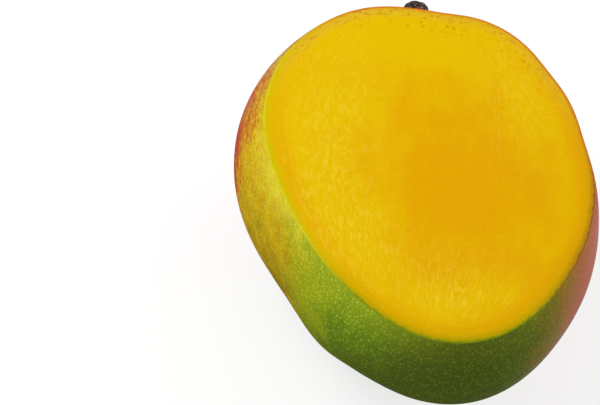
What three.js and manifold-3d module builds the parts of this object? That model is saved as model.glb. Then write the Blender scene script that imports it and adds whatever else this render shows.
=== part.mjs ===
// A ripe mango with one cheek sliced off. It lies on its whole cheek, with the cut face up and the stem's stub at
// one end. Millimetres, +Z up. +Y runs from the fruit's tip to its stem and X across it. The origin is on the
// surface that the fruit rests on, under the middle of its box.

import * as THREE from "three";
import { mergeVertices } from "three/addons/utils/BufferGeometryUtils.js";
import Module from "manifold-3d";

const wasm = await Module();
wasm.setup();

const degree = Math.PI / 180;

// The fruit as a plain rounded body, by its half sizes about its middle. A squareness of 2 is an ellipsoid, and
// less is a little more pointed.
const halfWidth = 43.5;
const halfLength = 58;
const halfThickness = 43;
const squareness = 1.9;

// What turns that body into a mango: each swelling, or hollow with a minus, by where it is centred, how far it
// lifts the surface, and how wide it spreads. Longitude is counted from +X towards the stem, in degrees, and
// latitude upwards from the fruit's middle plane.
const swellings = {
  ventralShoulder: { longitude: 155, latitude: -5, height: 9, spread: 33 },
  dorsalShoulder: { longitude: 54, latitude: -2, height: 0.6, spread: 14 },
  dorsalCheek: { longitude: -25, latitude: -15, height: 3.4, spread: 26 },
  ventralFlank: { longitude: -141, latitude: -12, height: -3, spread: 13 },
  tip: { longitude: -77, latitude: -2, height: 5, spread: 19 },
  beak: { longitude: -118, latitude: -31, height: 1, spread: 9 },
  sinus: { longitude: -94, latitude: -23, height: -5, spread: 18 },
  stemEnd: { longitude: 94, latitude: 11, height: -4, spread: 12.5 },
  stemBasin: { longitude: 96, latitude: 4, height: -1.2, spread: 5 },
};

// The fruit's middle in the part's frame, the flat spot that it rests on, and the cut above its middle.
const fruitMiddle = { x: 2.7, y: -0.6, z: 42.8 };
const cutHeight = 16;
const cutCrown = 1.2; // the flesh stands this far above the rim of its cut
const crownFullness = 4; // how soon inside the rim the crown levels out

// The stub of the stem and the socket that it grew in: a foot on the skin, a neck, a knob with a domed top, and on
// that the nib of the stem's core.
const stem = {
  longitude: 96.5,
  latitude: 4,
  rise: 10, // of the stub above level, in degrees
  root: 3.2, // how deep it sits in the fruit
  height: 6.7, // of the knob's top above the skin
  footRadius: 3.5,
  footSpread: 1.1,
  neckRadius: 2.4,
  knobRadius: 3.1,
  knobHeight: 4.5,
  knobSpread: 1.7,
  dome: 2,
  nibRadius: 0.6,
  nib: 0.8, // how far the core stands out of the knob
  bark: 0.2, // depth of the knobbly bark
  sides: 28,
  rings: 14,
};
const gap = 0.3; // between the stub's root and its socket

// Divisions of the fruit's surface, round it and from pole to pole, and how many of its rings lie on the cut.
const segments = 64;
const rings = 34;
const cutRings = 7;

function directionAt(longitude, latitude) {
  const across = Math.cos(latitude * degree);
  return new THREE.Vector3(
    across * Math.cos(longitude * degree),
    across * Math.sin(longitude * degree),
    Math.sin(latitude * degree),
  );
}

// How far the whole fruit's skin is from its middle, along a unit direction.
function skinRadius(direction) {
  const term = (part, halfSize) => Math.abs(part / halfSize) ** squareness;
  const plain =
    (term(direction.x, halfWidth) + term(direction.y, halfLength) + term(direction.z, halfThickness)) **
    (-1 / squareness);
  let swollen = plain;
  for (const { longitude, latitude, height, spread } of Object.values(swellings)) {
    const away = direction.angleTo(directionAt(longitude, latitude)) / degree / spread;
    swollen += height * Math.exp(-0.5 * away * away);
  }
  return swollen;
}

function skinPoint(longitude, latitude) {
  const direction = directionAt(longitude, latitude);
  return direction.multiplyScalar(skinRadius(direction));
}

// The latitude at which the skin reaches the cut, found by halving.
function cutLatitude(longitude) {
  let [below, above] = [0, 90];
  while (above - below > 1e-6) {
    const middle = (below + above) / 2;
    if (skinPoint(longitude, middle).z > cutHeight) above = middle;
    else below = middle;
  }
  return below;
}

// A ball's rings, spread over the fruit: those under the rim cover the skin, from the resting spot up to the cut,
// and those above it cover the cut face, from its rim in to its middle.
function fruitSurface() {
  const ball = new THREE.SphereGeometry(1, segments, rings).rotateX(Math.PI / 2);
  const rimLatitude = 90 - (180 * cutRings) / rings;
  const places = ball.getAttribute("position");
  const point = new THREE.Vector3();
  for (let i = 0; i < places.count; i++) {
    point.fromBufferAttribute(places, i).normalize();
    const longitude = Math.atan2(point.y, point.x) / degree;
    const latitude = Math.asin(THREE.MathUtils.clamp(point.z, -1, 1)) / degree;
    const rim = cutLatitude(longitude);
    if (latitude <= rimLatitude + 1e-3) {
      const share = (latitude + 90) / (rimLatitude + 90);
      point.copy(skinPoint(longitude, -90 + share * (rim + 90)));
    } else {
      const inward = (latitude - rimLatitude) / (90 - rimLatitude);
      point.copy(skinPoint(longitude, rim)).multiplyScalar(1 - inward);
      point.z = cutHeight + cutCrown * (1 - (1 - inward) ** crownFullness);
    }
    point.z = Math.max(point.z, -fruitMiddle.z);
    places.setXYZ(i, point.x, point.y, point.z);
  }
  return ball;
}

// A three.js geometry as a solid, and a solid as a geometry.
function solidOf(geometry) {
  geometry.deleteAttribute("normal");
  geometry.deleteAttribute("uv");
  const merged = mergeVertices(geometry, 1e-3);
  return new wasm.Manifold(
    new wasm.Mesh({
      numProp: 3,
      vertProperties: merged.getAttribute("position").array,
      triVerts: new Uint32Array(merged.index.array),
    }),
  );
}

function geometryOf(solid) {
  const { vertProperties, triVerts } = solid.getMesh();
  const geometry = new THREE.BufferGeometry();
  geometry.setAttribute("position", new THREE.BufferAttribute(vertProperties, 3));
  geometry.setIndex(new THREE.BufferAttribute(triVerts, 1));
  geometry.computeVertexNormals();
  return geometry;
}

// The stub's outline, from the middle of its root to the middle of its nib, as [radius, height] with the skin at
// height 0. Spare widens and deepens it into its socket.
function stubProfile(spare) {
  const outline = [[0, -stem.root - spare]];
  for (let i = 0; i <= stem.rings; i++) {
    const height = THREE.MathUtils.lerp(-stem.root - spare, stem.height, i / stem.rings);
    const foot = (stem.footRadius - stem.neckRadius) * Math.exp(-((height / stem.footSpread) ** 2));
    const knob =
      (stem.knobRadius - stem.neckRadius) * Math.exp(-(((height - stem.knobHeight) / stem.knobSpread) ** 2));
    const intoDome = Math.max(0, 1 - (stem.height - height) / stem.dome);
    const side = stem.neckRadius + foot + knob - stem.nibRadius;
    outline.push([stem.nibRadius + side * Math.sqrt(1 - intoDome ** 2) + spare, height]);
  }
  outline.push([0.8 * stem.nibRadius + spare, stem.height + stem.nib], [0, stem.height + stem.nib]);
  return outline.map(([radius, height]) => new THREE.Vector2(radius, height));
}

// Bark that bulges and cracks all round the stub, by a formula of its own angle and height.
function roughen(geometry) {
  const places = geometry.getAttribute("position");
  for (let i = 0; i < places.count; i++) {
    const [x, y, z] = [places.getX(i), places.getY(i), places.getZ(i)];
    const angle = Math.atan2(z, x);
    const bark = Math.sin(3 * angle + 1.7 * y) + 0.6 * Math.sin(5 * angle - 2.3 * y + 1);
    const above = THREE.MathUtils.smoothstep(y, 0.2, 1.5);
    const radius = Math.hypot(x, z);
    const moved = radius > 1e-6 ? 1 + (stem.bark * above * bark) / stem.knobRadius : 1;
    places.setXYZ(i, x * moved, y, z * moved);
  }
  return geometry;
}

// Turns a shape that stands along +Y at the origin to the stem's own place and direction.
function stemPlace() {
  const foot = skinPoint(stem.longitude, stem.latitude);
  const along = directionAt(stem.longitude, stem.rise);
  const turn = new THREE.Quaternion().setFromUnitVectors(new THREE.Vector3(0, 1, 0), along);
  return new THREE.Matrix4().compose(foot, turn, new THREE.Vector3(1, 1, 1));
}

function stub() {
  const turned = new THREE.LatheGeometry(stubProfile(0), stem.sides);
  return roughen(turned).applyMatrix4(stemPlace());
}

function socket() {
  const turned = new THREE.LatheGeometry(stubProfile(gap), stem.sides);
  return turned.applyMatrix4(stemPlace());
}

const fruitSolid = solidOf(fruitSurface()).subtract(solidOf(socket()));

const fruit = new THREE.Mesh(
  geometryOf(fruitSolid),
  new THREE.MeshStandardMaterial({ color: 0x9a8f22, roughness: 0.4, metalness: 0 }),
);
fruit.name = "fruit";

const stemStub = new THREE.Mesh(
  geometryOf(solidOf(stub())),
  new THREE.MeshStandardMaterial({ color: 0x3a2620, roughness: 0.85, metalness: 0 }),
);
stemStub.name = "stem_stub";

const mango = new THREE.Group();
mango.add(fruit, stemStub);
mango.position.set(fruitMiddle.x, fruitMiddle.y, fruitMiddle.z);

export default mango;
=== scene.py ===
import math

import bpy
import numpy as np
from mathutils import Matrix, Vector, noise


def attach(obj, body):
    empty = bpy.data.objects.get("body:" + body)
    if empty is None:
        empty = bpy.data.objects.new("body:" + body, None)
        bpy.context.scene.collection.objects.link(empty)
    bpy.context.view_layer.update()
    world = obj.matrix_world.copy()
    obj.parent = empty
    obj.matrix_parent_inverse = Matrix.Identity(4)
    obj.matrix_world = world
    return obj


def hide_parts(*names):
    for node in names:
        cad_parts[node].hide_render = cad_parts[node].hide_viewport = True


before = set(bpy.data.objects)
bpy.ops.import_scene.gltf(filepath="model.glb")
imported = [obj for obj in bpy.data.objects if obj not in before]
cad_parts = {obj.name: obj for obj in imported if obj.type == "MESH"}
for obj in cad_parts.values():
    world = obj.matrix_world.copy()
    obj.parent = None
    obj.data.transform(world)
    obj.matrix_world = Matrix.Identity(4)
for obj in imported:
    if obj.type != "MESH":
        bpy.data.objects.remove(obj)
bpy.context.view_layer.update()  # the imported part, which stays as it is
mm = 0.001
print("frame loaded:", sorted(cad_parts))


# What every piece uses
def readPoints(piece):
    points = np.empty(len(piece.data.vertices) * 3, np.float32)
    piece.data.vertices.foreach_get("co", points)
    return points.reshape(-1, 3).astype(float)


def writePoints(piece, points):
    piece.data.vertices.foreach_set("co", points.astype(np.float32).ravel())
    piece.data.update()


def writeAttribute(piece, name, values):
    attribute = piece.data.attributes.new(name, "FLOAT", "POINT")
    attribute.data.foreach_set("value", values.astype(np.float32))


def writePlaces(piece, name, places):
    # places of its own that a pattern can follow, in metres
    attribute = piece.data.attributes.new(name, "FLOAT_VECTOR", "POINT")
    attribute.data.foreach_set("vector", places.astype(np.float32).ravel())


def smoothStep(low, high, values):
    share = np.clip((values - low) / (high - low), 0, 1)
    return share * share * (3 - 2 * share)


def smoothNoise(points, size, seed):
    # soft random values from -1 to 1, with lumps of the given size
    offset = Vector((seed * 17.3, seed * 5.1, seed * 9.7))
    return np.array([noise.noise(Vector(p) + offset) for p in points / size])


def applyAll(piece):
    bpy.ops.object.select_all(action="DESELECT")
    piece.select_set(True)
    bpy.context.view_layer.objects.active = piece
    bpy.ops.object.transform_apply(location=True, rotation=True, scale=True)


# The fruit
fruit = {
    "middle": Vector((2.7, -0.6, 42.8)) * mm,  # above the floor, where the rays of the shape start
    "halfSizes": (43.5 * mm, 58 * mm, 43 * mm),  # across, along, and half as thick as it was whole
    "squareness": 1.9,  # 2 is an ellipsoid, less is more pointed
    "cutHeight": 16 * mm,  # the slice, above the middle
    "crown": 1.2 * mm,  # how far the flesh stands above its rim
    "edgeRound": 0.18 * mm,  # of the cut skin
    "fleshEdge": 0.3,  # share of that round which counts as flesh
    "unevenness": 0.12 * mm,
    "unevenSize": 20 * mm,
    "evenBelow": (12, 40),  # degrees from straight down, between which the unevenness grows in
    "seed": 15,  # of the random lumps
    "crownEdge": (1.4 * mm, 0.4),  # the crown's steep start: how wide, and its share of the rise
    "fibreRelief": (0.04 * mm, 1.3 * mm, 3),  # height, size and seed of what the blade left on the flesh
    "waveRelief": (0.1 * mm, 13 * mm, 4),
    "fibreStretch": 0.12,  # along the fruit, where less is longer
    "reliefStart": (0.6 * mm, 6 * mm),  # inside the rim, between which the relief grows in
    "rimCircle": 15 * mm,  # radius of the ring that patterns along the rim are laid on
    "around": 320,
    "skinRings": 150,
    "cheekRings": 12,  # on the cheek that is sliced off
    "shoulderWidth": 13 * mm,  # the outer part of the flesh, which rolls down to the skin
    "shoulderRings": 22,
    "shoulderEven": 0.2,  # share of their spacing that is even, where the rest widens inwards
    "faceReach": 45 * mm,  # from the rim to the middle of the cut
    "faceRings": 30,
}
swellings = {  # and dents: longitude and latitude in degrees, height, and spread in degrees
    "ventralShoulder": (155, -5, 9 * mm, 33),
    "dorsalShoulder": (54, -2, 0.6 * mm, 14),
    "dorsalCheek": (-25, -15, 3.4 * mm, 26),
    "ventralFlank": (-141, -12, -3 * mm, 13),
    "tip": (-77, -2, 5 * mm, 19),
    "beak": (-118, -31, 1 * mm, 9),
    "sinus": (-94, -23, -5 * mm, 18),
    "stemEnd": (94, 11, -4 * mm, 12.5),
    "stemBasin": (96, 4, -1.2 * mm, 5),
    "stemDent": (90, 17, -0.6 * mm, 5),
    "shoulderDent": (52, 18, -0.6 * mm, 6),
    "dorsalDent": (20, 18, -0.6 * mm, 7),
}


def directionAt(longitude, latitude):
    longitude = np.radians(longitude)
    latitude = np.radians(latitude)
    flat = np.cos(latitude)
    return np.stack([flat * np.cos(longitude), flat * np.sin(longitude), np.sin(latitude)], axis=-1)


def awayFrom(directions, longitude, latitude):
    # degrees between each direction and one place on the fruit
    return np.degrees(np.arccos(np.clip(directions @ directionAt(longitude, latitude), -1, 1)))


def skinRadius(directions):
    power = fruit["squareness"]
    radius = sum(np.abs(directions[:, i] / fruit["halfSizes"][i]) ** power for i in range(3)) ** (-1 / power)
    for longitude, latitude, height, spread in swellings.values():
        radius += height * np.exp(-0.5 * (awayFrom(directions, longitude, latitude) / spread) ** 2)
    offFloor = smoothStep(*fruit["evenBelow"], awayFrom(directions, 0, -90))
    places = directions * 50 * mm  # about the fruit's own size
    lumps = smoothNoise(places, fruit["unevenSize"], fruit["seed"])
    lumps += 0.3 * smoothNoise(places, fruit["unevenSize"] / 3, fruit["seed"] + 1)  # finer and lower ones
    return radius + fruit["unevenness"] * lumps * offFloor


def cutLatitude(longitudes):
    # where the skin reaches the slice, found by halving
    below = np.zeros(len(longitudes))
    above = np.full(len(longitudes), 90.0)
    for _ in range(26):
        between = (below + above) / 2
        directions = directionAt(longitudes, between)
        over = skinRadius(directions) * directions[:, 2] > fruit["cutHeight"]
        above = np.where(over, between, above)
        below = np.where(over, below, between)
    return below


def addWholeMango():
    # a ball whose rings are slid so that one of them lies on the slice, then swelled into a mango
    rings = fruit["skinRings"] + fruit["cheekRings"]
    bpy.ops.mesh.primitive_uv_sphere_add(segments=fruit["around"], ring_count=rings, radius=1)
    mango = bpy.context.active_object
    mango.name = "mango_fruit"
    ball = readPoints(mango)
    longitude = np.degrees(np.arctan2(ball[:, 1], ball[:, 0]))
    latitude = np.degrees(np.arcsin(np.clip(ball[:, 2], -1, 1)))
    turns, turnOf = np.unique(np.round(longitude, 3), return_inverse=True)
    cut = cutLatitude(turns)[turnOf]
    rim = 180 * fruit["skinRings"] / rings - 90
    onSkin = -90 + (latitude + 90) / (rim + 90) * (cut + 90)
    onCheek = 90 - (90 - latitude) / (90 - rim) * (90 - cut)
    directions = directionAt(longitude, np.where(latitude <= rim + 1e-3, onSkin, onCheek))
    writePoints(mango, np.array(fruit["middle"]) + directions * skinRadius(directions)[:, None])
    return mango


def crownRise(inside):
    # how high the flesh stands above the rim, that far inside it
    width, part = fruit["crownEdge"]
    edge = 1 - math.exp(-inside / width)
    share = min(inside / fruit["faceReach"], 1)
    return fruit["crown"] * (part * edge + (1 - part) * (1 - (1 - share) ** 3))


def selectCutFace(mango):
    bpy.ops.mesh.select_all(action="DESELECT")
    bpy.ops.mesh.select_mode(type="FACE")
    bpy.ops.object.mode_set(mode="OBJECT")
    sizes = [len(face.vertices) for face in mango.data.polygons]
    mango.data.polygons[sizes.index(max(sizes))].select = True
    bpy.ops.object.mode_set(mode="EDIT")


def sliceCheek(mango):
    cutLevel = fruit["middle"].z + fruit["cutHeight"]
    bpy.ops.object.mode_set(mode="EDIT")
    bpy.ops.mesh.select_all(action="SELECT")
    bpy.ops.mesh.bisect(
        plane_co=(0, 0, cutLevel), plane_no=(0, 0, 1), use_fill=True, clear_outer=True, threshold=0.01 * mm)
    bpy.ops.mesh.region_to_loop()
    bpy.ops.mesh.bevel(offset=fruit["edgeRound"], segments=3, profile=0.5)
    selectCutFace(mango)
    bpy.ops.mesh.separate(type="SELECTED")
    bpy.ops.object.mode_set(mode="OBJECT")


def shapeCutFace(flesh):
    # rings from the rim inwards: insets down the shoulder, then extrusions drawn in to the middle
    bpy.ops.object.select_all(action="DESELECT")
    flesh.select_set(True)
    bpy.context.view_layer.objects.active = flesh
    bpy.ops.object.mode_set(mode="EDIT")
    bpy.ops.mesh.select_all(action="SELECT")
    inside = 0
    even = fruit["shoulderEven"]
    for i in range(1, fruit["shoulderRings"] + 1):  # narrow rings at the rim, wider ones further in
        share = i / fruit["shoulderRings"]
        further = fruit["shoulderWidth"] * (even * share + (1 - even) * share ** 2)
        bpy.ops.mesh.inset(thickness=further - inside, depth=crownRise(further) - crownRise(inside))
        inside = further
    centre = Vector((fruit["middle"].x, fruit["middle"].y, 0))
    left = fruit["faceReach"] - inside
    for i in range(1, fruit["faceRings"]):
        step = left / fruit["faceRings"]
        before = left - step * (i - 1)
        rise = crownRise(inside + step) - crownRise(inside)
        bpy.ops.mesh.extrude_region_move(TRANSFORM_OT_translate={"value": (0, 0, rise)})
        shrink = (before - step) / before
        bpy.ops.transform.resize(value=(shrink, shrink, 1), center_override=centre)
        inside += step
    bpy.ops.mesh.merge(type="CENTER")
    bpy.ops.object.mode_set(mode="OBJECT")


def joinCutFace(mango, flesh):
    bpy.ops.object.select_all(action="DESELECT")
    flesh.select_set(True)
    mango.select_set(True)
    bpy.context.view_layer.objects.active = mango
    bpy.ops.object.join()
    bpy.ops.object.mode_set(mode="EDIT")
    bpy.ops.mesh.select_all(action="SELECT")
    bpy.ops.mesh.remove_doubles(threshold=0.002 * mm)
    bpy.ops.object.mode_set(mode="OBJECT")


def restOnFloor(mango):
    # the flat spot that the fruit lies on
    bpy.ops.object.mode_set(mode="EDIT")
    bpy.ops.mesh.select_all(action="SELECT")
    bpy.ops.mesh.bisect(
        plane_co=(0, 0, 0), plane_no=(0, 0, -1), use_fill=True, clear_outer=True, threshold=0.001 * mm)
    bpy.ops.mesh.select_all(action="DESELECT")
    bpy.ops.object.mode_set(mode="OBJECT")


mango = addWholeMango()
print("whole mango:", len(mango.data.vertices), "points")
sliceCheek(mango)
flesh = next(piece for piece in bpy.context.selected_objects if piece != mango)
shapeCutFace(flesh)
print("cut face:", len(flesh.data.polygons), "faces")
joinCutFace(mango, flesh)
restOnFloor(mango)
print("sliced mango:", len(mango.data.polygons), "faces")

# Which points are on the flesh, and how far inside the rim they are
cutLevel = fruit["middle"].z + fruit["cutHeight"]
points = readPoints(mango)
rays = points - np.array(fruit["middle"])
directions = rays / np.linalg.norm(rays, axis=1)[:, None]
rimTurns = np.arange(-180, 181, 1.0)
rimLatitudes = cutLatitude(rimTurns)
rimReach = skinRadius(directionAt(rimTurns, rimLatitudes)) * np.cos(np.radians(rimLatitudes))
turns = np.degrees(np.arctan2(rays[:, 1], rays[:, 0]))
isFlesh = points[:, 2] > cutLevel - fruit["fleshEdge"] * fruit["edgeRound"]
inside = np.interp(turns, rimTurns, rimReach) - np.hypot(rays[:, 0], rays[:, 1])
inside = np.where(isFlesh, np.maximum(inside, 0), 0)

# The blade leaves the flesh faintly ribbed along its fibres, and a little wavy
fibreHeight, fibreSize, fibreSeed = fruit["fibreRelief"]
waveHeight, waveSize, waveSeed = fruit["waveRelief"]
drawnOut = points * (1, fruit["fibreStretch"], 1)
relief = fibreHeight * smoothNoise(drawnOut, fibreSize, fibreSeed)
relief += waveHeight * smoothNoise(points, waveSize, waveSeed)
points[:, 2] += (relief - waveHeight) * smoothStep(*fruit["reliefStart"], inside) * isFlesh
writePoints(mango, points)

skinPatches = {  # longitude and latitude in degrees, strength, and spread in degrees
    "blush": {  # red, and orange where it is weak
        "stemEnd": (88, 0, 1.1, 36),
        "ventralShoulder": (148, 6, 0.15, 15),
        "ventralSide": (170, -6, 0.9, 13),
        "dorsalSide": (-14, 4, 1.0, 26),
        "dorsalTip": (-46, 4, 0.3, 14),
        "dorsalShoulder": (36, -6, 0.5, 24),
        "dorsalBelly": (10, -45, 0.8, 40),
        "ventralBelly": (150, -48, 0.8, 28),
    },
    "green": {  # lime where it is weak
        "tip": (-97, 5, 1.0, 22.5),
        "underTip": (-80, -38, 0.7, 24),
        "dorsalTip": (-42, 4, 0.8, 17),
    },
    # painted shade: a dull olive-brown on the underside towards -X, standing for the shade that falls there
    "bellyShade": {
        "ventralBelly": (-158, -50, 1.0, 25),
    },
    "rose": {  # where the blush is pinker and duller
        "dorsalSide": (-18, 8, 1.2, 34),
        "ventralShoulder": (140, 8, 0.5, 18),
    },
    "paleRim": {  # lighter skin next to the slice
        "ventralSide": (-160, 20, 0.7, 17),
        "ventralTip": (-135, 20, 0.45, 18),
        "tip": (-106, 20, 0.8, 13),
        "dorsalTip": (-60, 20, 0.4, 14),
    },
    "ripeAndShadedRim": {  # flesh of a deeper colour next to the skin, partly painted shade where the flesh rolls down to it
        "ventralSide": (-170, 20, 0.6, 22),
        "tip": (-105, 20, 0.5, 30),
        "dorsalTip": (-52, 20, 0.8, 20),
        "dorsalSide": (18, 20, 1.0, 28),
    },
    "deep": {  # where the green is darker
        "tip": (-77, -2, 1.0, 20),
        # partly painted shade: this darker green under the tip also stands for the shade on the underside
        "underTip": (-80, -45, 0.8, 32),
        "dorsalTip": (-42, 4, 0.6, 15),
    },
    "wax": {  # where the skin shines most
        "stemEnd": (122, 5, 0.8, 34),
        "dorsalSide": (-18, -2, 1.3, 16),
        "dorsalTip": (-46, -16, 1.2, 17),
        "dorsalBelly": (60, -40, 0.5, 50),
    },
}
fleshPatches = {  # place from the fruit's middle in mm, strength, and spread across and along in mm
    "heart": {  # orange flesh
        "middle": (4, -13, 0.98, 15, 20),
        "upperMiddle": (0, 8, 0.42, 15, 16),
        "dorsalRim": (29, -33, 0.2, 6, 9),
        "tipRim": (17, -47, 0.45, 6, 4),
        "dorsalHalf": (27, 2, 0.4, 12, 32),
    },
    "pale": {  # lighter flecks along the fibres, partly a painted sheen where the cut face catches the light
        "ventralHalf": (-29, -14, 0.75, 7.5, 20),
        "ventralTop": (-28, 18, 0.25, 10, 14),
        "ventralTip": (-18, -29, 0.45, 5, 8),
        "tipHalf": (2, -38, 0.5, 14, 7),
        "tip": (4, -43, 0.6, 6, 4),
        "dorsalTop": (20, 26, 0.45, 8, 16),
    },
    "khaki": {  # duller flesh near the rim
        "stemRim": (-14, 45, 1.1, 22, 5),
        "dorsalShoulder": (26, 33, 0.9, 9, 11),
        "ventralShoulder": (-33, 29, 0.9, 8, 9),
    },
    "freckled": {  # darker dots
        "belowStem": (-3, 47, 1.1, 15, 8),
        "dorsalShoulder": (24, 36, 0.5, 7, 7),
    },
}


def sumOnSkin(patches):
    total = np.zeros(len(directions))
    for longitude, latitude, strength, spread in patches.values():
        total += strength * np.exp(-0.5 * (awayFrom(directions, longitude, latitude) / spread) ** 2)
    return total


def sumOnFlesh(patches):
    total = np.zeros(len(rays))
    for x, y, strength, across, along in patches.values():
        away = ((rays[:, 0] / mm - x) / across) ** 2 + ((rays[:, 1] / mm - y) / along) ** 2
        total += strength * np.exp(-0.5 * away)
    return total


for name, patches in skinPatches.items():
    writeAttribute(mango, name, sumOnSkin(patches))
for name, patches in fleshPatches.items():
    writeAttribute(mango, name, sumOnFlesh(patches))
writeAttribute(mango, "inside", inside / mm)
latitudes = np.degrees(np.arcsin(directions[:, 2]))
writeAttribute(mango, "belowRim", np.interp(turns, rimTurns, rimLatitudes) - latitudes)

# The fibres run from the stem to the tip in the fruit's own curve, and smears run along the rim
length = rays[:, 1] / fruit["halfSizes"][1]
bulge = np.sqrt(np.maximum(1 - length ** 2, 0.15))
writePlaces(mango, "alongFibres", np.stack([rays[:, 0] / bulge, rays[:, 1], rays[:, 2]], axis=1))
aroundRim = fruit["rimCircle"] * directionAt(turns, np.zeros(len(turns)))
writePlaces(mango, "alongRim", aroundRim + np.outer(inside, (0, 0, 1)))


# Nodes
def addNode(tree, kind, inputs=None, **settings):
    made = tree.nodes.new(kind)
    for name, value in settings.items():
        setattr(made, name, value)
    for socket, value in (inputs or {}).items():
        if isinstance(value, bpy.types.NodeSocket):
            tree.links.new(value, made.inputs[socket])
        else:
            made.inputs[socket].default_value = value
    return made


def readValue(tree, name):
    return addNode(tree, "ShaderNodeAttribute", attribute_name=name).outputs["Fac"]


def readPlace(tree, name):
    return addNode(tree, "ShaderNodeAttribute", attribute_name=name).outputs["Vector"]


def calculate(tree, operation, *values):
    return addNode(tree, "ShaderNodeMath", dict(enumerate(values)), operation=operation).outputs[0]


def remap(tree, value, low, high, toLow=0.0, toHigh=1.0):
    made = addNode(tree, "ShaderNodeMapRange", {
        "Value": value, "From Min": low, "From Max": high, "To Min": toLow, "To Max": toHigh},
        interpolation_type="SMOOTHSTEP")
    return made.outputs["Result"]


def spreadNoise(tree, value, low, high):
    # noise lies mostly between 0.3 and 0.7, and that range is drawn out to the one given
    return remap(tree, value, 0.3, 0.7, low, high)


def onScreen(red, green, blue):
    # a colour given as it looks on the screen, from 0 to 255, in the values that shaders use
    shares = [part / 255 for part in (red, green, blue)]
    return tuple(part / 12.92 if part < 0.04045 else ((part + 0.055) / 1.055) ** 2.4 for part in shares)


def mixColours(tree, share, first, second, blend="MIX"):
    made = addNode(tree, "ShaderNodeMix", data_type="RGBA", blend_type=blend)
    for index, value in ((0, share), (6, first), (7, second)):
        if isinstance(value, bpy.types.NodeSocket):
            tree.links.new(value, made.inputs[index])
        elif index == 0:
            made.inputs[0].default_value = value
        else:
            made.inputs[index].default_value = (*value, 1)
    return made.outputs[2]


def newGroup(name, inputs, output):
    tree = bpy.data.node_groups.new(name, "ShaderNodeTree")
    tree.interface.new_socket("Vector", in_out="INPUT", socket_type="NodeSocketVector")
    for socket, value in inputs.items():
        tree.interface.new_socket(socket, in_out="INPUT", socket_type="NodeSocketFloat").default_value = value
    tree.interface.new_socket(output, in_out="OUTPUT", socket_type="NodeSocketFloat")
    return tree, tree.nodes.new("NodeGroupInput").outputs, tree.nodes.new("NodeGroupOutput").inputs


def makeDots():
    # soft round dots scattered over any surface, each with a strength of its own
    tree, inlet, outlet = newGroup(
        "scatteredDots", {"Density": 1000, "Radius": 0.2, "Softness": 0.1, "Least": 0.0}, "Mask")
    cells = addNode(tree, "ShaderNodeTexVoronoi", {
        "Vector": inlet["Vector"], "Scale": inlet["Density"], "Randomness": 0.75})
    edge = calculate(tree, "ADD", inlet["Radius"], inlet["Softness"])
    dot = remap(tree, cells.outputs["Distance"], inlet["Radius"], edge, 1.0, 0.0)
    draw = addNode(tree, "ShaderNodeSeparateColor", {"Color": cells.outputs["Color"]}).outputs["Red"]
    strength = remap(tree, draw, inlet["Least"], 1.0)
    tree.links.new(calculate(tree, "MULTIPLY", dot, strength), outlet["Mask"])
    return tree


def makeStreaks():
    # noise drawn out along the fruit, from its stem to its tip
    tree, inlet, outlet = newGroup(
        "lengthwiseStreaks", {"Density": 500, "Stretch": 0.15, "Detail": 3}, "Value")
    scale = addNode(tree, "ShaderNodeCombineXYZ", {0: 1.0, 1: inlet["Stretch"], 2: 1.0}).outputs[0]
    drawn = addNode(tree, "ShaderNodeVectorMath", {0: inlet["Vector"], 1: scale}, operation="MULTIPLY")
    bands = addNode(tree, "ShaderNodeTexNoise", {
        "Vector": drawn.outputs[0], "Scale": inlet["Density"], "Detail": inlet["Detail"]})
    tree.links.new(bands.outputs["Fac"], outlet["Value"])
    return tree


scatteredDots = makeDots()
lengthwiseStreaks = makeStreaks()


def useGroup(tree, group, place, **inputs):
    made = tree.nodes.new("ShaderNodeGroup")
    made.node_tree = group
    tree.links.new(place, made.inputs["Vector"])
    for socket, value in inputs.items():
        made.inputs[socket].default_value = value
    return made.outputs[0]


def newMaterial(name):
    material = bpy.data.materials.new(name)
    material.use_nodes = True
    tree = material.node_tree
    place = addNode(tree, "ShaderNodeTexCoord").outputs["Object"]
    return material, tree, tree.nodes["Principled BSDF"], place


def noiseValue(tree, place, density, detail=2.0):
    return addNode(tree, "ShaderNodeTexNoise", {
        "Vector": place, "Scale": density, "Detail": detail}).outputs["Fac"]


def finishShader(tree, shader, colour, roughness, height, depth):
    tree.links.new(colour, shader.inputs["Base Color"])
    tree.links.new(roughness, shader.inputs["Roughness"])
    bump = addNode(tree, "ShaderNodeBump", {"Strength": 1.0, "Distance": depth, "Height": height})
    tree.links.new(bump.outputs[0], shader.inputs["Normal"])


skinLook = {
    "olive": onScreen(211, 184, 24),
    "ochre": onScreen(192, 148, 10),
    "limeGreen": onScreen(157, 170, 24),
    "green": onScreen(113, 148, 26),
    "deepGreen": onScreen(86, 103, 32),
    # the colour of the painted shade on the underside
    "bellyShade": onScreen(106, 86, 14),
    "orange": onScreen(200, 100, 18),
    "red": onScreen(170, 54, 34),
    "tan": onScreen(150, 118, 46),
    "rose": onScreen(180, 84, 60),
    "rimYellow": onScreen(222, 213, 60),
    "rimLime": onScreen(153, 171, 36),
    "rimGreen": onScreen(136, 150, 26),
    "dot": onScreen(212, 214, 78),
    "dotOnRed": onScreen(218, 144, 76),
    "speck": onScreen(46, 50, 30),
    "rimWidth": 10.0,  # of the lighter skin next to the slice, in degrees
    "patches": (90, 3),  # density and detail of its noises
    "clouds": (260, 4),
    "mottle": (1500, 3),
    "dimples": (1200, 2),
    "broadStreaks": {"Density": 240, "Stretch": 0.35, "Detail": 3},
    "fineStreaks": {"Density": 1300, "Stretch": 0.35, "Detail": 3},
    "mainDots": {"Density": 1080, "Radius": 0.15, "Softness": 0.31, "Least": -0.6},
    "faintDots": {"Density": 1600, "Radius": 0.13, "Softness": 0.25, "Least": -0.5},
    "specks": {"Density": 240, "Radius": 0.05, "Softness": 0.04, "Least": 0.55},
    "mainDotStrength": 0.66,
    "faintDotStrength": 0.34,
    "dotHeight": 0.6,  # against the dimples of the skin
    "bumpDepth": 0.03 * mm,
    "coatRoughness": 0.32,
    "coatIor": 1.26,
}


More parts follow.
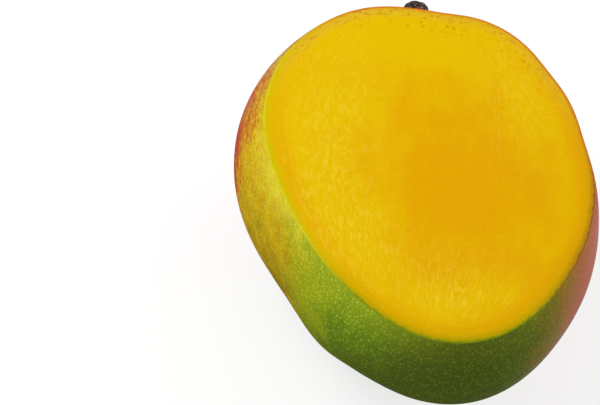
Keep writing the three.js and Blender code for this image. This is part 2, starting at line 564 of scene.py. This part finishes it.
def makeSkin():
    material, tree, shader, place = newMaterial("mangoSkin")
    patches = noiseValue(tree, place, *skinLook["patches"])
    clouds = noiseValue(tree, place, *skinLook["clouds"])
    mottle = noiseValue(tree, place, *skinLook["mottle"])
    broad = useGroup(tree, lengthwiseStreaks, place, **skinLook["broadStreaks"])
    fine = useGroup(tree, lengthwiseStreaks, place, **skinLook["fineStreaks"])
    colour = mixColours(tree, remap(tree, clouds, 0.25, 0.75), skinLook["olive"], skinLook["ochre"])
    uneven = calculate(
        tree, "ADD", spreadNoise(tree, patches, -0.08, 0.08), spreadNoise(tree, clouds, -0.06, 0.06))
    green = calculate(tree, "ADD", readValue(tree, "green"), uneven)
    deep = calculate(tree, "ADD", readValue(tree, "deep"), uneven)
    colour = mixColours(tree, remap(tree, green, 0.0, 0.5), colour, skinLook["limeGreen"])
    colour = mixColours(tree, remap(tree, green, 0.4, 0.9), colour, skinLook["green"])
    # darker green; under the tip it is partly painted shade
    colour = mixColours(tree, remap(tree, deep, 0.1, 0.9), colour, skinLook["deepGreen"])
    # painted shade on the underside, which also holds back the blush there
    bellyShade = calculate(tree, "ADD", readValue(tree, "bellyShade"), uneven)
    colour = mixColours(tree, remap(tree, bellyShade, 0.1, 1.0), colour, skinLook["bellyShade"])
    rim = mixColours(tree, remap(tree, green, 0.0, 0.4), skinLook["rimYellow"], skinLook["rimLime"])
    rim = mixColours(tree, remap(tree, deep, 0.2, 0.7), rim, skinLook["rimGreen"])
    paleRim = remap(tree, readValue(tree, "paleRim"), 0.0, 1.0, 0.05, 0.65)
    nearRim = remap(tree, readValue(tree, "belowRim"), 0.0, skinLook["rimWidth"], 1.0, 0.0)
    colour = mixColours(tree, calculate(tree, "MULTIPLY", nearRim, paleRim), colour, rim)
    streaks = calculate(
        tree, "ADD", spreadNoise(tree, broad, -0.15, 0.15), spreadNoise(tree, fine, -0.2, 0.2))
    streaks = calculate(tree, "MULTIPLY", streaks, remap(tree, green, 0.1, 0.6, 1.0, 0.1))
    blush = calculate(tree, "ADD", readValue(tree, "blush"), streaks)
    blush = calculate(tree, "SUBTRACT", blush, calculate(tree, "MULTIPLY", green, 0.3))
    blush = calculate(tree, "SUBTRACT", blush, calculate(tree, "MULTIPLY", bellyShade, 0.5))
    rosy = readValue(tree, "rose")
    orange = mixColours(tree, rosy, skinLook["orange"], skinLook["tan"])
    red = mixColours(tree, rosy, skinLook["red"], skinLook["rose"])
    colour = mixColours(tree, remap(tree, blush, 0.1, 0.9), colour, orange)
    colour = mixColours(tree, remap(tree, blush, 0.4, 1.1), colour, red)
    colour = mixColours(tree, 1.0, colour, spreadNoise(tree, mottle, 0.92, 1.08), "MULTIPLY")
    main = useGroup(tree, scatteredDots, place, **skinLook["mainDots"])
    main = calculate(tree, "MULTIPLY", main, skinLook["mainDotStrength"])
    faint = useGroup(tree, scatteredDots, place, **skinLook["faintDots"])
    faint = calculate(tree, "MULTIPLY", faint, skinLook["faintDotStrength"])
    dots = calculate(tree, "MAXIMUM", main, faint)
    dots = calculate(tree, "MULTIPLY", dots, remap(tree, deep, 0.1, 0.8, 1.0, 0.34))
    dotColour = mixColours(tree, remap(tree, blush, 0.3, 0.9), skinLook["dot"], skinLook["dotOnRed"])
    colour = mixColours(tree, dots, colour, dotColour)
    specks = useGroup(tree, scatteredDots, place, **skinLook["specks"])
    colour = mixColours(tree, specks, colour, skinLook["speck"])
    dimples = noiseValue(tree, place, *skinLook["dimples"])
    height = calculate(tree, "ADD", dimples, calculate(tree, "MULTIPLY", dots, skinLook["dotHeight"]))
    roughness = spreadNoise(tree, clouds, 0.5, 0.6)
    finishShader(tree, shader, colour, roughness, height, skinLook["bumpDepth"])
    wax = calculate(tree, "MULTIPLY", readValue(tree, "wax"), spreadNoise(tree, clouds, 0.9, 1.1))
    tree.links.new(remap(tree, wax, 0.0, 1.3, 0.04, 1.0), shader.inputs["Coat Weight"])
    shader.inputs["Coat Roughness"].default_value = skinLook["coatRoughness"]
    shader.inputs["Coat IOR"].default_value = skinLook["coatIor"]
    shader.inputs["Specular IOR Level"].default_value = 0  # only the wax shines
    return material


fleshLook = {
    "yellow": onScreen(226, 185, 0),
    "orange": onScreen(223, 162, 0),
    # lighter fibres, partly a painted sheen on the cut face
    "pale": onScreen(240, 208, 54),
    "khaki": onScreen(218, 180, 40),
    "smear": onScreen(196, 130, 20),
    "freckle": onScreen(198, 134, 8),
    "grain": (2300, 2),  # density and detail of its noises
    "clouds": (70, 3),
    "ragged": (1800, 2),
    "smears": (1500, 3),
    "fibres": {"Density": 1300, "Stretch": 0.28, "Detail": 4},
    "flecks": {"Density": 900, "Stretch": 0.34, "Detail": 2},
    "streaks": {"Density": 230, "Stretch": 0.3, "Detail": 4},
    "largeFreckles": {"Density": 480, "Radius": 0.04, "Softness": 0.32, "Least": -0.8},
    "smallFreckles": {"Density": 760, "Radius": 0.06, "Softness": 0.3, "Least": -0.8},
    "bumpDepth": 0.04 * mm,
    "gloss": 0.02,
    "rims": {  # the skin's line, the flesh under it, and the ripe flesh further in; the last two are darker partly as painted shade where the flesh rolls down to the skin
        "ventral": (onScreen(206, 196, 28), onScreen(206, 184, 0), onScreen(213, 177, 0)),
        "tip": (onScreen(128, 142, 14), onScreen(188, 160, 2), onScreen(213, 167, 0)),
        "stem": (onScreen(202, 92, 30), onScreen(206, 128, 16), onScreen(214, 156, 8)),
        "dorsal": (onScreen(154, 92, 26), onScreen(180, 134, 10), onScreen(212, 157, 2)),
    },
}


def makeRim(tree, inside):
    # the colours of the four kinds of rim, mixed by where they lie, and how far inside it a point is; the
    # flesh colours among them hold painted shade in part
    green = readValue(tree, "green")
    tipward = remap(tree, calculate(tree, "ADD", green, readValue(tree, "deep")), 0.15, 1.0)
    blush = calculate(tree, "SUBTRACT", readValue(tree, "blush"), calculate(tree, "MULTIPLY", green, 0.5))
    stemward = remap(tree, blush, 0.4, 0.8)
    rosy = remap(tree, readValue(tree, "rose"), 0.5, 1.1)
    mixed = []
    for ventral, tip, stemEnd, dorsal in zip(*fleshLook["rims"].values()):
        colour = mixColours(tree, stemward, mixColours(tree, tipward, ventral, tip), stemEnd)
        mixed.append(mixColours(tree, rosy, colour, dorsal))
    reach = calculate(tree, "MAXIMUM", tipward, calculate(tree, "MULTIPLY", rosy, 0.6))
    reach = remap(tree, reach, 0.0, 1.0, 1.0, 1.7)
    ragged = noiseValue(tree, readPlace(tree, "alongRim"), *fleshLook["ragged"])
    frayed = calculate(tree, "ADD", inside, spreadNoise(tree, ragged, -0.2, 0.2))
    depth = calculate(tree, "DIVIDE", frayed, reach)
    return mixed, depth


def makeFlesh():
    material, tree, shader, place = newMaterial("mangoFlesh")
    inside = readValue(tree, "inside")
    alongFibres = readPlace(tree, "alongFibres")
    grain = noiseValue(tree, place, *fleshLook["grain"])
    clouds = noiseValue(tree, place, *fleshLook["clouds"])
    fibres = useGroup(tree, lengthwiseStreaks, alongFibres, **fleshLook["fibres"])
    flecks = useGroup(tree, lengthwiseStreaks, alongFibres, **fleshLook["flecks"])
    streaks = useGroup(tree, lengthwiseStreaks, alongFibres, **fleshLook["streaks"])
    heart = calculate(tree, "ADD", readValue(tree, "heart"), spreadNoise(tree, clouds, -0.2, 0.2))
    heart = calculate(tree, "ADD", heart, spreadNoise(tree, streaks, -0.12, 0.12))
    colour = mixColours(tree, remap(tree, heart, 0.0, 1.2), fleshLook["yellow"], fleshLook["orange"])
    (line, under, ripe), depth = makeRim(tree, inside)
    # the deeper band inside the rim, partly painted shade
    band = calculate(tree, "MULTIPLY", remap(tree, inside, 0.8, 2.2), remap(tree, inside, 3.0, 8.0, 1.0, 0.0))
    band = calculate(tree, "MULTIPLY", band, readValue(tree, "ripeAndShadedRim"))
    colour = mixColours(tree, band, colour, fleshLook["orange"])
    # lighter flecks along the fibres, partly painted sheen
    pale = remap(tree, fibres, 0.4, 0.75, 0.0, 0.4)
    pale = calculate(tree, "ADD", pale, remap(tree, flecks, 0.5, 0.7, 0.0, 0.5))
    pale = calculate(tree, "MULTIPLY", pale, readValue(tree, "pale"))
    colour = mixColours(tree, pale, colour, fleshLook["pale"])
    large = useGroup(tree, scatteredDots, place, **fleshLook["largeFreckles"])
    small = useGroup(tree, scatteredDots, place, **fleshLook["smallFreckles"])
    small = calculate(tree, "MULTIPLY", small, remap(tree, inside, 2.0, 6.0, 0.8, 0.0))
    freckled = calculate(
        tree, "MULTIPLY", readValue(tree, "freckled"), remap(tree, inside, 5.0, 11.0, 1.0, 0.0))
    freckles = calculate(tree, "MULTIPLY", calculate(tree, "MAXIMUM", large, small), freckled)
    # the deeper flesh near the rim, darkened partly as painted shade
    colour = mixColours(tree, remap(tree, depth, 0.8, 3.2, 0.9, 0.0), colour, ripe)
    smears = noiseValue(tree, readPlace(tree, "alongRim"), *fleshLook["smears"])
    bruised = calculate(tree, "MULTIPLY", readValue(tree, "khaki"), remap(tree, inside, 1.5, 5.0, 1.0, 0.0))
    khaki = calculate(tree, "MULTIPLY", bruised, remap(tree, smears, 0.35, 0.6, 0.5, 1.0))
    colour = mixColours(tree, khaki, colour, fleshLook["khaki"])
    smear = calculate(tree, "MULTIPLY", bruised, remap(tree, smears, 0.54, 0.66, 0.0, 0.8))
    colour = mixColours(tree, smear, colour, fleshLook["smear"])
    colour = mixColours(tree, freckles, colour, fleshLook["freckle"])
    # the flesh just under the skin, darkened partly as painted shade
    colour = mixColours(tree, remap(tree, depth, 0.3, 1.4, 1.0, 0.0), colour, under)
    colour = mixColours(tree, remap(tree, depth, 0.1, 0.38, 1.0, 0.0), colour, line)
    speckled = mixColours(tree, 1.0, colour, remap(tree, grain, 0.25, 0.75, 0.95, 1.05), "MULTIPLY")
    roughness = spreadNoise(tree, clouds, 0.45, 0.55)
    height = calculate(tree, "ADD", fibres, grain)
    finishShader(tree, shader, speckled, roughness, height, fleshLook["bumpDepth"])
    shader.inputs["Specular IOR Level"].default_value = fleshLook["gloss"]
    return material


mango.data.materials.append(makeSkin())
mango.data.materials.append(makeFlesh())
for face in mango.data.polygons:  # what looks up from the slice is flesh
    face.material_index = 1 if face.normal.z > 0.6 and face.center.z > cutLevel - fruit["edgeRound"] else 0
    face.use_smooth = True
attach(mango, "root")
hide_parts("fruit")
print("fruit finished")

# The stub of the stem
stem = {
    "longitude": 96.1,  # where it grows, in degrees
    "latitude": 4,
    "rise": 10,  # above level, in degrees
    "sides": 20,
    "outline": (  # radius and height above the skin, in mm
        (3.0, -2.4), (3.5, -0.9), (3.6, 0.1), (3.1, 0.9), (2.8, 1.7), (3.0, 2.7), (3.6, 3.7),
        (3.9, 4.7), (3.8, 5.7), (3.2, 6.6), (2.1, 7.2), (0.9, 7.35), (0.65, 7.45), (0.5, 7.6)),
    "nibTop": (0.2 * mm, 0.05 * mm),  # how far in from its edge the nib's top rises, and how much
    "bark": 0.3 * mm,
    "barkSize": 0.85 * mm,
    "seed": 5,  # of the bark's lumps
    "barkStart": (-0.5 * mm, 1.0 * mm),  # heights between which the bark grows in
    "nibStart": (7.2 * mm, 7.4 * mm),  # heights between which it gets smoother again
    "nibSmooth": 0.7,
}


def addStem():
    (radius, height), *rest = stem["outline"]
    bpy.ops.object.select_all(action="DESELECT")
    bpy.ops.mesh.primitive_circle_add(
        vertices=stem["sides"], radius=radius * mm, fill_type="NGON", location=(0, 0, height * mm))
    stub = bpy.context.active_object
    stub.name = "mango_stem"
    bpy.ops.object.transform_apply(location=True)
    bpy.ops.object.mode_set(mode="EDIT")
    bpy.ops.mesh.select_all(action="SELECT")
    for wider, higher in rest:
        bpy.ops.mesh.extrude_region_move(TRANSFORM_OT_translate={"value": (0, 0, (higher - height) * mm)})
        grow = wider / radius
        bpy.ops.transform.resize(value=(grow, grow, 1), center_override=(0, 0, higher * mm))
        radius, height = wider, higher
    thickness, depth = stem["nibTop"]
    bpy.ops.mesh.inset(thickness=thickness, depth=depth)
    bpy.ops.mesh.select_all(action="SELECT")
    bpy.ops.mesh.normals_make_consistent(inside=False)
    bpy.ops.object.mode_set(mode="OBJECT")
    smooth = stub.modifiers.new("smooth", "SUBSURF")
    smooth.levels = 3
    smooth.render_levels = 3
    bpy.ops.object.modifier_apply(modifier=smooth.name)
    return stub


def roughenBark(stub):
    # knobbly bark, which doesn't stand out past the stub's outline
    points = readPoints(stub)
    normals = np.array([tuple(vertex.normal) for vertex in stub.data.vertices])
    height = points[:, 2]
    lumps = smoothNoise(points, stem["barkSize"], stem["seed"])
    lumps += 0.5 * smoothNoise(points, stem["barkSize"] / 2.5, stem["seed"] + 1)  # finer and lower ones
    depth = stem["bark"] * (lumps - 1) * smoothStep(*stem["barkStart"], height)
    depth *= 1 - stem["nibSmooth"] * smoothStep(*stem["nibStart"], height)
    writePoints(stub, points + normals * depth[:, None])
    writeAttribute(stub, "lumps", lumps)
    writeAttribute(stub, "height", height / mm)


def placeStem(stub):
    direction = directionAt(stem["longitude"], stem["latitude"])
    foot = fruit["middle"] + Vector(direction * skinRadius(direction[None, :])[0])
    along = Vector(directionAt(stem["longitude"], stem["rise"]))
    stub.rotation_euler = along.to_track_quat("Z", "Y").to_euler()
    stub.location = foot
    applyAll(stub)


stemLook = {
    "bark": onScreen(37, 27, 25),
    "crack": onScreen(13, 9, 9),
    # painted highlight on the tops of the bark's lumps
    "ridgeHighlight": onScreen(176, 130, 120),
    "nib": onScreen(176, 166, 146),
    "nibFrom": (7.25, 7.4),  # heights in mm between which the pale nib starts
    "grain": (2600, 3),
    "bumpDepth": 0.12 * mm,
}


def makeBark():
    material, tree, shader, place = newMaterial("stemBark")
    lumps = readValue(tree, "lumps")
    grain = noiseValue(tree, place, *stemLook["grain"])
    colour = mixColours(tree, remap(tree, lumps, -0.5, 0.2), stemLook["crack"], stemLook["bark"])
    # painted highlight on the tops of the bark's lumps
    highlighted = calculate(tree, "MULTIPLY", remap(tree, lumps, 0.0, 0.5), remap(tree, grain, 0.42, 0.6))
    colour = mixColours(tree, calculate(tree, "MULTIPLY", highlighted, 0.7), colour, stemLook["ridgeHighlight"])
    tip = remap(tree, readValue(tree, "height"), *stemLook["nibFrom"])
    colour = mixColours(tree, tip, colour, stemLook["nib"])
    roughness = spreadNoise(tree, grain, 0.6, 0.9)
    finishShader(tree, shader, colour, roughness, grain, stemLook["bumpDepth"])
    return material


stub = addStem()
roughenBark(stub)
placeStem(stub)
stub.data.materials.append(makeBark())
for face in stub.data.polygons:
    face.use_smooth = True
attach(stub, "root")
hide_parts("stem_stub")
print("stem finished:", len(stub.data.polygons), "faces")

# Studio: floor, camera and lights
camera = {
    "azimuth": -13.2,  # from -Y towards +X, in degrees
    "elevation": 51.4,
    "roll": 19.3,
    "distance": 0.7,  # in metres
    "lens": 161.1,
    "aimRight": -33 * mm,  # the fruit is right of the picture's middle
    "aimUp": -1.5 * mm,
}


def addCamera():
    azimuth = math.radians(camera["azimuth"])
    elevation = math.radians(camera["elevation"])
    level = Vector((math.cos(azimuth), math.sin(azimuth), 0))
    towards = Vector((math.sin(azimuth), -math.cos(azimuth), 0))
    back = towards * math.cos(elevation) + Vector((0, 0, math.sin(elevation)))
    right = Matrix.Rotation(math.radians(camera["roll"]), 3, back) @ level
    up = back.cross(right)
    data = bpy.data.cameras.new("camera")
    data.lens = camera["lens"]
    made = bpy.data.objects.new("camera", data)
    bpy.context.scene.collection.objects.link(made)
    made.location = fruit["middle"] + back * camera["distance"]
    target = fruit["middle"] + right * camera["aimRight"] + up * camera["aimUp"]
    ahead = (target - made.location).normalized()
    across = ahead.cross(up).normalized()
    turn = Matrix((across, across.cross(ahead), -ahead)).transposed()
    made.rotation_euler = turn.to_euler()
    bpy.context.scene.camera = made


studio = {
    "daylight": 0.44,  # from all round
    "floorSize": 6,
    "floorGrey": 0.5,
    "floorRoughness": 0.7,
    "glowShare": 0.4,  # of the floor's glow in what the camera sees of it
    "glow": 1.8,
}
lights = {  # azimuth from +X towards +Y, elevation, distance, size, power in watts
    "key": (168, 44, 0.9, 0.5, 5.6),
    "fill": (-100, 60, 1.1, 0.7, 0.7),
    "sheen": (25, 16, 0.8, 0.4, 3.1),
}


def addLights():
    for name, (azimuth, elevation, distance, size, power) in lights.items():
        direction = Vector(directionAt(azimuth, elevation))
        data = bpy.data.lights.new(name, "AREA")
        data.size = size
        data.energy = power
        made = bpy.data.objects.new(name, data)
        bpy.context.scene.collection.objects.link(made)
        made.location = fruit["middle"] + direction * distance
        made.rotation_euler = direction.to_track_quat("Z", "Y").to_euler()
    world = bpy.data.worlds.new("studio")
    world.use_nodes = True
    background = world.node_tree.nodes["Background"]
    background.inputs["Color"].default_value = (1, 1, 1, 1)
    background.inputs["Strength"].default_value = studio["daylight"]
    bpy.context.scene.world = world


def addFloor():
    bpy.ops.mesh.primitive_plane_add(size=studio["floorSize"])
    floor = bpy.context.active_object
    floor.name = "floor"
    material, tree, shader = newMaterial("paleFloor")[:3]
    grey = studio["floorGrey"]
    shader.inputs["Base Color"].default_value = (grey, grey, grey, 1)
    shader.inputs["Roughness"].default_value = studio["floorRoughness"]
    # the picture shows the floor as pale as lit paper, yet it throws little light back on the fruit
    glow = addNode(tree, "ShaderNodeEmission", {"Color": (1, 1, 1, 1), "Strength": studio["glow"]})
    seen = addNode(tree, "ShaderNodeLightPath").outputs["Is Camera Ray"]
    share = calculate(tree, "MULTIPLY", seen, studio["glowShare"])
    both = addNode(tree, "ShaderNodeMixShader", {0: share, 1: shader.outputs[0], 2: glow.outputs[0]})
    tree.links.new(both.outputs[0], tree.nodes["Material Output"].inputs["Surface"])
    floor.data.materials.append(material)


addCamera()
addLights()
addFloor()
bpy.context.scene.view_settings.view_transform = "Standard"
print("studio ready")
